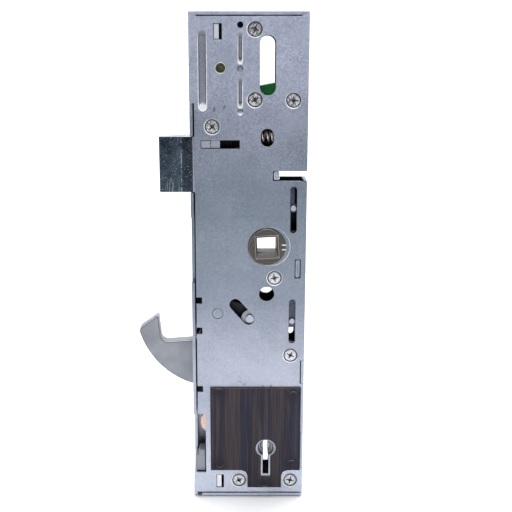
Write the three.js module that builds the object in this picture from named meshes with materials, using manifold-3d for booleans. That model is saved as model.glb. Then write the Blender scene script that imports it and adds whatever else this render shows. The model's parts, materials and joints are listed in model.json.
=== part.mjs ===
// Centre case of a multipoint door lock: latch, hook bolt, split follower and a key-operated lever deadlock.
// Millimetres. +X runs from the faceplate side to the rear edge, +Z up, -Y towards the front cover.
// The origin lies on the front wall's outer face, at mid thickness and at the height of the spindle.
import * as THREE from 'three';
import { mergeVertices } from 'three/addons/utils/BufferGeometryUtils.js';
import Module from 'manifold-3d';

const wasm = await Module();
wasm.setup();

// ---- Driving dimensions ----
const DEPTH = 48.5;                                   // case, front wall to rear edge
const TOP = 95.6;                                     // outer face of the tray's top wall
const BOTTOM = -115.6;                                // outer face of the tray's bottom wall
const WALL = 1.3;                                     // tray side walls
const COVER = { front: -7.75, back: -6.55, top: 93.7, bottom: -113.4, lip: 2 };
const COVER_EAR = { width: 3, top: 94.2 };            // ends of the cover's top edge, nearly up to the tray
const GROOVE_DEPTH = 0.5;                             // stiffening grooves pressed into the cover
const KEY_SLOT = { width: 2.1, top: 2.6, low: -9, mouth: 2.9, mouthDepth: 1.4 };   // the curtain's way
const BACK = { front: 6.25, rear: 7.75 };             // tray's back plate
const INSIDE = { front: -6.5, back: 6.2 };            // where loose pieces may reach in the case
const INSIDE_SPAN = [INSIDE.front, INSIDE.back];
const WALL_EDGE = -7.2;                               // raised edges of the walls, below the cover's face
const SPINDLE = [32, 0];
const KEY = [32, -92];
const HOOK_PIVOT = [11, -29.4];
const LATCH_LEVER_PIVOT = [28, 21.5];
const LEVER_PIVOT = [8.5, -81];
const LATCH = { tip: -12.8, bevel: -3.6, back: 6, low: 23, high: 46, half: 6 };
const REAR_NOTCH = { left: 34.3, low: 27.9, high: 32 };
const SCREWS = [[26.7, 88.7], [26.8, 61], [42.4, 60.8], [9.3, 50.2], [35.3, -13.6], [42.5, -48.3],
  [20.1, -107.7], [43.1, -107.7]];
const PILLAR_R = 2.6;
const SCREW = { head: 3.2, neck: 1.7, shank: 1.25, length: 7 };
const HANDLE_TURN = 34;                               // degrees each follower half turns
const SLIDER_LIFT = 6.5;                              // drive slider, for a full turn of the handle
const HOOK_TURN = 70;                                 // degrees the hook turns in
const LATCH_TRAVEL = 11.1;
const KEY_THROW = 7;                                  // travel of the deadlock slide
const LEVER_LIFT = 7;                                 // degrees each lever is lifted
const LAYER = { slider: [-6.2, -4.3], hook: [-2.9, 2.9], latchLever: [0.4, 3.2], rearArm: [3.7, 6.1] };
const HOOK_PIN = [24.9, -31.9];
const HOOK_PIN_PATH = [-5.7, SLIDER_LIFT];            // the link pin's travel along its slanted slot
const BOSS_R = 7.75;
const LEVER = { count: 5, thick: 1.3, pitch: 1.6, first: -4.1 };

// ---- Materials ----
const metal = (color, roughness, metalness = 0.9) =>
  new THREE.MeshStandardMaterial({ color, roughness, metalness });
const material = {
  zinc: metal(0xaab0c0, 0.42),
  zincDark: metal(0x8b909c, 0.45),
  screw: metal(0xb9bdc4, 0.35),
  hardened: metal(0x4a4248, 0.4),
  slate: metal(0x3a434e, 0.25),
  hook: metal(0xa8abb0, 0.5),
  sintered: metal(0x4a4642, 0.6),
  steel: metal(0x9a9ca2, 0.4),
  brass: metal(0xb08d4c, 0.35),
  spring: metal(0xb07a5e, 0.35),
  green: metal(0x1f8a3c, 0.5, 0),
};

// ---- Solids: flat profiles are drawn in the X-Z plane and thickened along Y ----
const RAD = Math.PI / 180;
const along = (angle, radius, centre = [0, 0]) =>
  [centre[0] + radius * Math.cos(angle * RAD), centre[1] + radius * Math.sin(angle * RAD)];
const minus = (a, b) => [a[0] - b[0], a[1] - b[1]];
const turned = ([x, z], angle) => [
  x * Math.cos(angle * RAD) - z * Math.sin(angle * RAD),
  x * Math.sin(angle * RAD) + z * Math.cos(angle * RAD),
];

function solid(geometry) {
  geometry.deleteAttribute('normal');
  geometry.deleteAttribute('uv');
  const merged = mergeVertices(geometry, 1e-4);
  return new wasm.Manifold(new wasm.Mesh({
    numProp: 3,
    vertProperties: new Float32Array(merged.attributes.position.array),
    triVerts: new Uint32Array(merged.index.array),
  }));
}

// A profile thickened from y0 to y1.
function plate(shape, [y0, y1], curveSegments = 4) {
  const geometry = new THREE.ExtrudeGeometry(shape, { depth: y1 - y0, bevelEnabled: false, curveSegments });
  geometry.rotateX(Math.PI / 2);
  geometry.translate(0, y1, 0);
  return solid(geometry);
}

const polygon = (points) => new THREE.Shape(points.map(([x, z]) => new THREE.Vector2(x, z)));
const box = (x0, x1, z0, z1, ys) => plate(polygon([[x0, z0], [x1, z0], [x1, z1], [x0, z1]]), ys);

// A straight-sided profile with round ends, from one centre to the other.
function capsule([ax, az], [bx, bz], r) {
  const heading = Math.atan2(bz - az, bx - ax);
  const shape = new THREE.Shape();
  shape.absarc(bx, bz, r, heading - Math.PI / 2, heading + Math.PI / 2, false);
  shape.absarc(ax, az, r, heading + Math.PI / 2, heading + Math.PI * 1.5, false);
  shape.closePath();
  return shape;
}

// A round bar along Y; rFront and rRear differ for a cone.
function bar([x, z], rFront, [y0, y1], sides = 24, rRear = rFront) {
  const geometry = new THREE.CylinderGeometry(rRear, rFront, y1 - y0, sides);
  geometry.translate(x, (y0 + y1) / 2, z);
  return solid(geometry);
}

// A four-sided bar along Y, with its side length at the front and at the rear.
function squareBar([x, z], front, rear, [y0, y1], angle) {
  const geometry = new THREE.CylinderGeometry(rear * Math.SQRT1_2, front * Math.SQRT1_2, y1 - y0, 4);
  geometry.rotateY(Math.PI / 4 - angle * RAD);
  geometry.translate(x, (y0 + y1) / 2, z);
  return solid(geometry);
}

const cutAll = (body, cutters) => cutters.reduce((left, cutter) => left.subtract(cutter), body);
const joinAll = (bodies) => bodies.reduce((sum, body) => sum.add(body));

// The space a round pin sweeps; route(t) gives its centre for t from 0 to 1.
function swept(route, r, ys, steps = 6) {
  const pieces = [];
  for (let i = 0; i < steps; i += 1) {
    pieces.push(plate(capsule(route(i / steps), route((i + 1) / steps), r), ys, 3));
  }
  return joinAll(pieces);
}

// A coil spring: a round wire along a helix about the Z axis, from z = 0 to z = length.
function coil(length, radius, wire, turns, stepsPerTurn = 9) {
  class Helix extends THREE.Curve {
    getPoint(t, target = new THREE.Vector3()) {
      const angle = t * turns * 2 * Math.PI;
      return target.set(radius * Math.cos(angle), radius * Math.sin(angle), wire + t * (length - 2 * wire));
    }
  }
  const section = new THREE.Shape();
  section.absarc(0, 0, wire, 0, 2 * Math.PI, false);
  return new THREE.ExtrudeGeometry(section, {
    steps: Math.round(turns * stepsPerTurn), curveSegments: 3, bevelEnabled: false, extrudePath: new Helix(),
  });
}

function geometryOf(body) {
  const { vertProperties, triVerts } = body.getMesh();
  const geometry = new THREE.BufferGeometry();
  geometry.setAttribute('position', new THREE.BufferAttribute(new Float32Array(vertProperties), 3));
  geometry.setIndex(new THREE.BufferAttribute(new Uint32Array(triVerts), 1));
  geometry.computeVertexNormals();
  return geometry;
}

function piece(name, body, look, [x, z] = [0, 0]) {
  const mesh = new THREE.Mesh(body.isBufferGeometry ? body : geometryOf(body), look);
  mesh.name = name;
  mesh.position.set(x, 0, z);
  return mesh;
}

function assembly(...meshes) {
  const group = new THREE.Group();
  group.add(...meshes);
  return group;
}

// ---- Openings that run through cover and tray alike ----
const FIXING_SLOT = [[32, 65.95], [32, 83.35]];
const FIXING_R = 3.25;
const FIXING_HOLE = [32, -20.8];
const SLIDER_SLOTS = [[[43, 7.25], [43, 24.15]], [[43, -41.45], [43, -24.45]]];
const SLIDER_SLOT_R = 1.45;
const RIVET_AT = [12.8, 73.6];

// A keyhole: a round hole with a slot for the key's bit below it.
function keyhole(r, slotWidth, reach, ys) {
  const [x, z] = KEY;
  return bar(KEY, r, ys, 24).add(box(x - slotWidth / 2, x + slotWidth / 2, z - reach, z, ys));
}

const throughAll = (ys) => [
  plate(capsule(...FIXING_SLOT, FIXING_R), ys),
  bar(FIXING_HOLE, FIXING_R, ys),
  bar(SPINDLE, BOSS_R + 0.3, ys, 40),
  keyhole(3.75, 2.7, 12.8, ys),
];

// ---- Case: tray, cover, hardened plate ----
function backCase() {
  const full = [INSIDE.front, BACK.front + 0.1];
  const backPlate = box(0, DEPTH, BOTTOM, TOP, [BACK.front, BACK.rear]);
  const walls = [
    box(0, WALL, BOTTOM, TOP, full),
    box(DEPTH - WALL, DEPTH, BOTTOM, TOP, full),
    box(0, DEPTH, TOP - WALL, TOP, [WALL_EDGE, BACK.rear]),
    box(3.4, 48.2, BOTTOM, BOTTOM + WALL, [WALL_EDGE, BACK.rear]),
  ];
  const raisedEdges = [[46.5, 58.9], [12.4, 22.5], [-76, -16]].map(([low, high]) =>
    box(0, WALL, low, high, [WALL_EDGE, 0]));
  const rearTabs = [[-61.3, -51.1], [-101.4, -84.5]].map(([low, high]) =>
    box(DEPTH - WALL, DEPTH, low, high, [COVER.front, 0]));
  const tieTabs = [[85, 90.7], [-111, -105.2]].map(([low, high]) =>
    box(10.25, 12.2, low, high, [-7.5, BACK.rear]));
  const past = [-9, 9];
  const cuts = [
    ...throughAll([5, 9]),
    box(-1, 2, 22.6, 46.4, [-9, 6.1]),                // latch window
    box(-1, 2, -65, -36.5, [-3.5, 3.5]),              // hook window
    box(-1, 2, -16, 12.4, [-9, -3]),                  // front wall lowered beside the follower
    box(-1, 2, -104, -76, [-9, 1]),                   // side window beside the lever pack
    box(37.3, 50, REAR_NOTCH.low, REAR_NOTCH.high, past),
    plate(capsule(...SLIDER_SLOTS[1], SLIDER_SLOT_R), [5, 9]),
    bar(HOOK_PIVOT, 2.3, [5, 9], 20),
    bar(RIVET_AT, 2.2, [5, 9], 16),
  ];
  return cutAll(joinAll([backPlate, ...walls, ...raisedEdges, ...rearTabs, ...tieTabs]), cuts);
}

function coverOutline() {
  const { top, bottom, lip } = COVER;
  const notch = (low, high) => [[lip, high], [4.4, high], [4.4, low], [lip, low]];
  const tabGap = (low, high) => [[DEPTH, low], [DEPTH - 1.8, low], [DEPTH - 1.8, high], [DEPTH, high]];
  return polygon([
    [0.6, bottom], [DEPTH, bottom],
    ...tabGap(-101.6, -84.3), ...tabGap(-61.5, -50.9),
    [DEPTH, REAR_NOTCH.low - 0.8], [45.5, REAR_NOTCH.low], [REAR_NOTCH.left, REAR_NOTCH.low],
    [REAR_NOTCH.left, REAR_NOTCH.high], [DEPTH, REAR_NOTCH.high],
    [DEPTH, COVER_EAR.top], [DEPTH - COVER_EAR.width, COVER_EAR.top], [DEPTH - COVER_EAR.width, top],
    [COVER_EAR.width, top], [COVER_EAR.width, COVER_EAR.top], [0, COVER_EAR.top],
    [0, 60.7], [0.3, 60], [1, 59.7], [lip, 59.7],
    ...notch(-25, -22.2), ...notch(-38.6, -35.7), ...notch(-65.3, -62.6),
    [lip, -75.8], [5.4, -75.8], [5.4, -103.9], [0, -103.9], [0, bottom + 0.6],
  ]);
}

function frontCover() {
  const ys = [COVER.front, COVER.back];
  const cutY = [-9, -6];
  const smallWindows = [[10, 13.5, 84.7, 91], [10, 13.3, -111.3, -104.9], [43.8, 46.4, -13.8, -5.6]];
  const pinHoles = [90.4, 73.3, 56.1].map((z) => bar([20.8, z], 1.3, cutY, 12));
  const countersinks = SCREWS.map((at) => bar(at, SCREW.head + 0.2, [COVER.front - 0.1, COVER.back + 0.1], 16,
    SCREW.neck + 0.2));
  const grooveLines = [
    [[5.5, 58.2], [5.5, 87], 1.7],
    [[20.8, 76], [20.8, 86.7], 0.9],
    [[20.8, 58.5], [20.8, 69.1], 0.9],
  ];
  const grooves = grooveLines.map(([from, to, r]) =>
    plate(capsule(from, to, r), [COVER.front - 0.1, COVER.front + GROOVE_DEPTH], 3));
  const cuts = [
    ...throughAll(cutY),
    plate(capsule([31.9, 44.7], [31.9, 46.7], 2.7), cutY),      // view hole over the latch spring
    box(4.5, 20.6, 41.2, 44.7, cutY),                           // latch lug slot
    ...SLIDER_SLOTS.map((ends) => plate(capsule(...ends, SLIDER_SLOT_R), cutY, 3)),
    plate(capsule([18.6, -25.4], [24.3, -31.9], 2.55), cutY),   // slanted slot of the link pin
    ...smallWindows.map(([x0, x1, z0, z1]) => box(x0, x1, z0, z1, cutY)),
    bar(HOOK_PIVOT, 2.42, cutY, 20),
    bar(RIVET_AT, 2.2, cutY, 16),
    ...pinHoles,
    ...countersinks,
    ...grooves,
  ];
  return cutAll(plate(coverOutline(), ys), cuts);
}

function hardenedPlate() {
  const ys = [-8.75, -7.8];
  const outline = polygon([[7.5, -102.4], [21.2, -102.4], [23.1, -103.2], [23.9, -105.1], [23.9, -110.8],
    [39, -110.8], [39, -105.1], [39.8, -103.2], [41.7, -102.4], [47.3, -102.4], [47.3, -63.1], [7.5, -63.1]]);
  return plate(outline, ys).subtract(keyhole(4.5, 4.15, 13.8, [-9, -7]));
}

function caseScrew() {
  const head = bar([0, 0], SCREW.head, [COVER.front, COVER.back], 16, SCREW.neck);
  const shank = bar([0, 0], SCREW.shank, [COVER.back - 0.1, COVER.back + SCREW.length], 10);
  const recess = [box(-1.5, 1.5, -0.4, 0.4, [-9, -6.7]), box(-0.4, 0.4, -1.5, 1.5, [-9, -6.7])];
  return cutAll(head.add(shank), recess);
}

function casePillar() {
  const bore = bar([0, 0], SCREW.shank + 0.12, [INSIDE.front - 1, 2], 10);
  return bar([0, 0], PILLAR_R, [INSIDE.front, INSIDE.back], 14).subtract(bore);
}

function caseRivet() {
  const head = bar(RIVET_AT, 2.55, [-8, COVER.front - 0.02], 20);
  const shank = bar(RIVET_AT, 2.1, [-7.8, BACK.rear], 16);
  return head.add(shank).subtract(bar(RIVET_AT, 1.7, [-9, -6.2], 16));
}

// Shouldered pin: thin in the two sheets, thick between them.
function hookPivotPin() {
  return bar(HOOK_PIVOT, 2.2, [COVER.front, BACK.rear], 20).add(bar(HOOK_PIVOT, 3, INSIDE_SPAN, 20));
}

function fixingSlotInsert() {
  const ys = [-6.4, 6.1];
  const slopedTop = plate(polygon([[28.3, 63.9], [35.7, 63.9], [35.7, 67.8], [28.3, 66.4]]), ys);
  return slopedTop.add(box(30.2, 35, 57, 64, ys));
}

function leverPackSpacer() {
  return box(0.8, 5, -103.6, -96, [-6.3, 0.7]).add(box(2.2, 5, -96.2, -93.7, [-6.3, 0.7]));
}

const casing = assembly(
  piece('back_case', backCase(), material.zinc),
  piece('front_cover', frontCover(), material.zinc),
  piece('hardened_plate', hardenedPlate(), material.hardened),
  piece('case_rivet', caseRivet(), material.zincDark),
  piece('hook_pivot_pin', hookPivotPin(), material.steel),
  piece('fixing_slot_insert', fixingSlotInsert(), material.green),
  piece('slider_guide_pad', box(44.15, 46.05, -13.45, -5.95, [-7.7, -6.4]), material.zincDark),
  piece('latch_spring_seat', box(44.2, 45.7, 43.3, 49.1, [INSIDE.front + 0.2, INSIDE.back]), material.steel),
  piece('latch_lever_pin', bar(LATCH_LEVER_PIVOT, 2, [-1, INSIDE.back], 16), material.steel),
  piece('lever_pivot_pin', bar(LEVER_PIVOT, 2, INSIDE_SPAN, 16), material.steel),
  piece('slide_guide_post', bar([21.5, -70.5], 1.5, [INSIDE.front, -4.4], 14), material.steel),
  piece('slider_spring_stop', box(33.7, 37.9, -43.4, -42, [INSIDE.front, -3.1]), material.zincDark),
  piece('lever_pack_spacer', leverPackSpacer(), material.zinc),
);
SCREWS.forEach((at, i) => {
  const screw = piece(`case_screw_${i + 1}`, caseScrew(), material.screw, at);
  screw.rotation.y = (20 + 37 * i) * RAD;
  casing.add(screw, piece(`case_pillar_${i + 1}`, casePillar(), material.steel, at));
});

// ---- Latch: bevelled head, a tail with a notch for its lever, a lug that shows in the cover ----
function latchBolt() {
  const { tip, bevel, back, low, high, half } = LATCH;
  const section = new THREE.Shape([[back, -half], [back, half], [bevel, half], [tip, -2.5], [tip, -half]]
    .map(([x, y]) => new THREE.Vector2(x, y)));
  const head = new THREE.ExtrudeGeometry(section, { depth: high - low, bevelEnabled: false });
  head.translate(0, 0, low);
  const tailY = LAYER.latchLever;
  const tail = box(back - 1, 26, 36.8, high, tailY);
  const springFoot = box(17.5, 26, high - 1, 48.8, [LAYER.slider[0], tailY[1]]);
  const notchOutline = [[16.5, 36], [17.2, 39], [17.2, 43.3], [22.6, 43.3], [22.6, 39.5], [23.9, 36]];
  const notch = plate(polygon(notchOutline), [0, 4]);
  const lug = box(4.8, 8.7, 41.5, 44.4, [-7.2, 3.2]).add(box(8.6, 12.4, 41.4, 44.5, [LAYER.slider[0], 3.2]));
  return joinAll([solid(head), tail.subtract(notch), springFoot, lug]);
}

// Where the rear follower's pin stands, seen from the latch lever, at the share t of a full turn.
const FOLLOWER_PIN_ANGLE = 80;
const FOLLOWER_PIN_REACH = 11.5;
const pinSeenByLever = (t) => turned(
  minus(along(FOLLOWER_PIN_ANGLE + HANDLE_TURN * t, FOLLOWER_PIN_REACH, SPINDLE), LATCH_LEVER_PIVOT),
  HANDLE_TURN * t,
);

function latchLever() {
  const ys = LAYER.latchLever;
  const tip = along(115, 19.2);
  const upperArm = plate(polygon([
    along(25, 4), along(45, 4), minus(tip, along(205, 2)), minus(tip, along(25, 2)), along(205, 4),
  ]), ys);
  const lowerArm = plate(capsule([0, 0], along(-59.5, 10), 3.4), ys);
  const body = joinAll([bar([0, 0], 4.2, ys), upperArm, bar(tip, 2.2, ys, 16), lowerArm]);
  return cutAll(body, [bar([0, 0], 2.1, [-1, 5], 16), swept(pinSeenByLever, 1.75, [0, 4])]);
}

function latchSpring() {
  const geometry = coil(17.6, 2.1, 0.42, 8);
  geometry.rotateY(Math.PI / 2);
  geometry.translate(26.3, -3.6, 46.2);
  return geometry;
}

const latchwork = assembly(
  piece('latch_bolt', latchBolt(), material.slate),
  piece('latch_spring', latchSpring(), material.spring),
  piece('latch_lever', latchLever(), material.steel, LATCH_LEVER_PIVOT),
);

// ---- Split follower: the front half drives the slider, the rear half drives the latch lever ----
const SQUARE = 8.1;

function squareHole(face, throat, angle) {
  const inwards = face < 0 ? 1 : -1;
  const mouth = [face - 0.1 * inwards, face + 0.8 * inwards].sort((a, b) => a - b);
  const [frontSide, rearSide] = face < 0 ? [SQUARE + 1.8, SQUARE] : [SQUARE, SQUARE + 1.8];
  const through = squareBar([0, 0], SQUARE, SQUARE, throat, angle);
  return through.add(squareBar([0, 0], frontSide, rearSide, mouth, angle));
}

function followerFront() {
  const toothTip = along(-HANDLE_TURN / 2, 11);
  const body = joinAll([
    bar([0, 0], BOSS_R, [-8.9, -0.15], 40),
    bar([0, 0], 9.3, [-4, -0.15], 32),
    plate(capsule([0, 0], toothTip, 1.9), [-6.1, -4.3]),
  ]);
  return body.subtract(squareHole(-8.9, [-9.5, 0.5], 3.5));
}

function followerRear() {
  const pin = along(FOLLOWER_PIN_ANGLE, FOLLOWER_PIN_REACH);
  const body = joinAll([
    bar([0, 0], BOSS_R, [0.15, 8.9], 40),
    bar([0, 0], 9.3, LAYER.rearArm, 32),
    plate(capsule([0, 0], pin, 2.6), LAYER.rearArm),
    bar(pin, 1.5, [0.5, 4], 14),
  ]);
  return body.subtract(squareHole(8.9, [-0.5, 9.5], 0));
}

// ---- Drive slider and the slanted link to the hook ----
const SLIDER_PINS = [[43, 16.3], [43, -33]];

function driveSlider() {
  const outline = polygon([
    [38.3, 27.4], [38.3, 9.5], [40.2, 9.5],
    [40.2, -0.25], [44.9, -0.25], [44.9, -6.25], [40.2, -6.25],       // notch for the follower's tooth
    [40.2, -16], [38.3, -16], [38.3, -31.2],
    // fork for the link
    [33.5, -31.2], [33.5, -33], [40.9, -33], [40.9, -36.4], [33.5, -36.4], [33.5, -38.4],
    [38.3, -38.4], [38.3, -58], [33.5, -58], [33.5, -60], [38.3, -60],                      // spring foot
    [38.3, -66], [43.7, -66], [43.7, -80], [46.4, -80], [46.4, 6.6],
    [42, 6.6], [42, 17.9], [43.4, 17.9], [43.4, 27.4],                // narrow upper end beside its slot
  ]);
  const cuts = [
    plate(capsule([42.5, -48.3 - SLIDER_LIFT], [42.5, -48.3], PILLAR_R + 0.25), [-7, -4]),
    box(41.7, 44.3, -43, -36, [-7, -4]),
  ];
  const pinBoss = bar(SLIDER_PINS[0], 1.9, LAYER.slider, 16);
  return cutAll(plate(outline, LAYER.slider).add(pinBoss), cuts);
}

const sliderPin = (name, at) => piece(name, bar([0, 0], 1.2, [-7.6, -6.25], 14), material.steel, at);

function hookLink() {
  const arm = box(0, 15.8, -4.3, -1.3, LAYER.slider);
  return bar([0, 0], 3.7, LAYER.slider).add(arm).subtract(bar([0, 0], 1.85, [-7, -4], 16));
}

function sliderSpring() {
  const geometry = coil(14.2, 1.3, 0.3, 8, 8);
  geometry.translate(35.7, -4.75, -57.9);
  return geometry;
}

const drive = assembly(
  piece('follower_front', followerFront(), material.sintered, SPINDLE),
  piece('follower_rear', followerRear(), material.sintered, SPINDLE),
  piece('drive_slider', driveSlider(), material.zincDark),
  sliderPin('slider_pin_upper', SLIDER_PINS[0]),
  sliderPin('slider_pin_lower', SLIDER_PINS[1]),
  piece('slider_spring', sliderSpring(), material.spring),
  piece('hook_link', hookLink(), material.zincDark, HOOK_PIN),
  piece('hook_link_pin', bar([0, 0], 1.8, [-7.6, LAYER.hook[1]], 16), material.steel, HOOK_PIN),
);

// ---- Hook bolt: a beak on an arc about its pivot, and a tail with the cam slot ----
const HOOK_R = 35.8;

// The link pin seen from the turning hook, at the share t of its travel.
const pinSeenByHook = (t) => {
  const [dx, dz] = HOOK_PIN_PATH;
  return turned([HOOK_PIN[0] + dx * t - HOOK_PIVOT[0], HOOK_PIN[1] + dz * t - HOOK_PIVOT[1]], -HOOK_TURN * t);
};

function hookBolt() {
  const tail = [13.9, -2.5];
  const outline = new THREE.Shape();
  outline.moveTo(-27, -2.7);
  outline.lineTo(-33.4, -7.4);
  outline.quadraticCurveTo(-34.6, -8.4, ...along(196, HOOK_R));
  outline.absarc(0, 0, HOOK_R, 196 * RAD, 250 * RAD, false);
  outline.quadraticCurveTo(-9.6, -34.3, -6.5, -30);
  outline.lineTo(4.5, -13.5);
  outline.absarc(...tail, 4.8, -75 * RAD, 80 * RAD, false);
  outline.absarc(0, 0, 6.3, 55 * RAD, 195 * RAD, false);
  outline.lineTo(-7.8, -9.8);
  outline.lineTo(-9.8, -13.4);
  outline.lineTo(-21.8, -14.3);
  outline.quadraticCurveTo(-24.8, -14.3, -25.1, -11.4);
  outline.lineTo(-25.9, -3.2);
  outline.quadraticCurveTo(-26.1, -2.1, -27, -2.7);
  const cuts = [bar([0, 0], 3.1, [-4, 4], 24), swept(pinSeenByHook, 2.05, [-4, 4], 7)];
  return cutAll(plate(outline, LAYER.hook, 12), cuts);
}

const hookwork = assembly(piece('hook_bolt', hookBolt(), material.hook, HOOK_PIVOT));

// ---- Lever deadlock: key curtain, five levers, deadlock slide and its stump ----
const STUMP = [27, -74.5];
const STUMP_R = 1.6;
const BELLY_RADII = [9.2, 9.9, 9.5, 10.3, 9.7];

function keyCurtain() {
  const [front, flange, rear] = [-6.3, 4.3, 6];
  const barrel = bar([0, 0], 6.4, [front, flange], 28).add(bar([0, 0], 7.4, [flange, rear], 28));
  const { width, top, low, mouth, mouthDepth } = KEY_SLOT;
  return cutAll(barrel, [
    plate(capsule([0, top - width / 2], [0, low], width / 2), [front - 1, rear + 1]),
    bar([0, 0], mouth, [front - 1, front + mouthDepth], 20),
    bar([0, 0], mouth, [rear - mouthDepth, rear + 1], 20),
  ]);
}

function leverPlate(bellyRadius, ys) {
  const [cx, cz] = minus(KEY, LEVER_PIVOT);
  const outline = new THREE.Shape();
  outline.absarc(0, 0, 5.5, 100 * RAD, 275 * RAD, false);
  outline.lineTo(cx + bellyRadius * Math.cos(135 * RAD), cz + bellyRadius * Math.sin(135 * RAD));
  outline.absarc(cx, cz, bellyRadius, 135 * RAD, 45 * RAD, true);
  outline.lineTo(32.5, 0);
  outline.lineTo(32.5, 11.8);
  outline.closePath();
  const stumpStart = minus(STUMP, LEVER_PIVOT);
  const stumpEnd = turned([stumpStart[0] + KEY_THROW, stumpStart[1]], -LEVER_LIFT);
  const through = [ys[0] - 1, ys[1] + 1];
  const gate = plate(capsule(stumpStart, stumpEnd, STUMP_R + 0.5), through, 4);
  return cutAll(plate(outline, ys, 6), [gate, bar([0, 0], 2.1, through, 16)]);
}

// A thin leaf that leans on the top of its lever and rises to the right.
function leverSpring([y0, y1]) {
  const leaf = new THREE.Shape();
  leaf.moveTo(3.5, 6.7);
  leaf.quadraticCurveTo(14, 13.6, 24.5, 14.2);
  leaf.lineTo(24.5, 14.6);
  leaf.quadraticCurveTo(13.6, 14.1, 3.1, 7.1);
  leaf.closePath();
  return plate(leaf, [y0 + 0.2, y1 - 0.2], 5);
}

function deadlockSlide() {
  const outline = polygon([[11, -80.5], [31, -80.5], [31, -75.2], [36.2, -75.2], [36.2, -70.8], [31, -70.8],
    [31, -67], [11, -67]]);
  const ys = [-6.2, -4.6];
  const guideSlot = plate(capsule([14.5, -70.5], [21.5, -70.5], 1.75), [-7, -4]);
  return cutAll(plate(outline, ys), [guideSlot, bar([28.4, -81], 2.6, [-7, -4], 16)]);
}

const deadlock = assembly(
  piece('key_curtain', keyCurtain(), material.brass, KEY),
  piece('deadlock_slide', deadlockSlide(), material.zincDark),
  piece('deadlock_stump', bar(STUMP, STUMP_R, [-4.55, 4.2], 14), material.steel),
);
for (let i = 0; i < LEVER.count; i += 1) {
  const start = LEVER.first + i * LEVER.pitch;
  const ys = [start, start + LEVER.thick];
  deadlock.add(
    piece(`lever_${i + 1}`, leverPlate(BELLY_RADII[i], ys), material.brass, LEVER_PIVOT),
    piece(`lever_spring_${i + 1}`, leverSpring(ys), material.spring, LEVER_PIVOT),
  );
}

const lock = new THREE.Group();
lock.add(casing, latchwork, drive, hookwork, deadlock);

export default lock;
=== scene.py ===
# %% [markdown]
# # A mortise lock case, dressed for the studio
# The lock is a flat folded case full of small pressed, turned and moulded pieces. The frame that is loaded here
# already holds every piece at its right size and place, so the work in this file is the surface: soft edges,
# springs wound from real wire, screw recesses, and a finish for each metal.

import json
import math

import bmesh
import bpy
import numpy as np
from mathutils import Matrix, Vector

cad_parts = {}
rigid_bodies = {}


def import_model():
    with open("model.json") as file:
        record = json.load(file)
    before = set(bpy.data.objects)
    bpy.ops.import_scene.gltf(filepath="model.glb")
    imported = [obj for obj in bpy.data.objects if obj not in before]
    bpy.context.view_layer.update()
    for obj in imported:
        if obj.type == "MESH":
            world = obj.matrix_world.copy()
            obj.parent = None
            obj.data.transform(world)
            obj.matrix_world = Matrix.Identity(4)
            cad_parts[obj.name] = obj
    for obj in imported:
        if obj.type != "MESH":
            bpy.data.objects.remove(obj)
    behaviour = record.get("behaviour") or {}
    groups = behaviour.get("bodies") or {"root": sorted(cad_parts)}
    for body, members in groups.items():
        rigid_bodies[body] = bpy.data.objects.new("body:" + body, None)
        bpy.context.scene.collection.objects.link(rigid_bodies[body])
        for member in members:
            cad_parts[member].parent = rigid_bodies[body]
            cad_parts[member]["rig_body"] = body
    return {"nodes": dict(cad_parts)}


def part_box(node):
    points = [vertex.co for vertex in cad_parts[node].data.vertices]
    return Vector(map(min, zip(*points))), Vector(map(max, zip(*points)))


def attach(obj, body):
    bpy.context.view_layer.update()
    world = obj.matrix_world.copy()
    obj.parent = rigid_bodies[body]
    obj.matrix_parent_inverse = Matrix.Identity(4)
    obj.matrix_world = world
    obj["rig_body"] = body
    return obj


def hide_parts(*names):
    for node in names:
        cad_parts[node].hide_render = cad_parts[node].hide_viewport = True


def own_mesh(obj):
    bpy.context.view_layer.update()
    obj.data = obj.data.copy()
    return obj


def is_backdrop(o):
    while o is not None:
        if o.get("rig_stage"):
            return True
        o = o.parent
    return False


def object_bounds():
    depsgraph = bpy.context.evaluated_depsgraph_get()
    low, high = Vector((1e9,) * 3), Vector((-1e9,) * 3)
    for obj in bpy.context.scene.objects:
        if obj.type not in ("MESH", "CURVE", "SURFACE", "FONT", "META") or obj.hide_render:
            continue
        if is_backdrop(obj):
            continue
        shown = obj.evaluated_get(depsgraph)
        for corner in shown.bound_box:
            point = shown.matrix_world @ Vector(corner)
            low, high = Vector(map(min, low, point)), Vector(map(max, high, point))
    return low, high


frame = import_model()
cad_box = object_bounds()
nodes = frame["nodes"]
MM = 0.001

# %% [markdown]
# ## Places that the rest is measured from
# Dressing could be placed by typing coordinates, but it would stay behind when the frame changes. Each place here
# is read from a node's box or counted in millimetres from a corner of the case, so it moves with the frame.


# %% Places on the lock
def middle(node):
    """The middle of a node's box, as an array in metres."""
    low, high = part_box(node)
    return (np.array(low) + np.array(high)) / 2


def from_case(across_mm, depth_mm, up_mm):
    """A point counted in millimetres from the case's lowest corner, on the faceplate's side of the cover."""
    return case_low + np.array([across_mm, depth_mm, up_mm]) * MM


case_low, case_high = (np.array(corner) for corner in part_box("back_case"))
cover_low, cover_high = (np.array(corner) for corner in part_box("front_cover"))
screw_names = sorted(name for name in nodes if name.startswith("case_screw"))
spindle = middle("follower_front")
cover_face = float(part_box("case_screw_1")[0][1])
print("cover face at", round(cover_face / MM, 2), "mm, screws:", len(screw_names))
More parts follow.
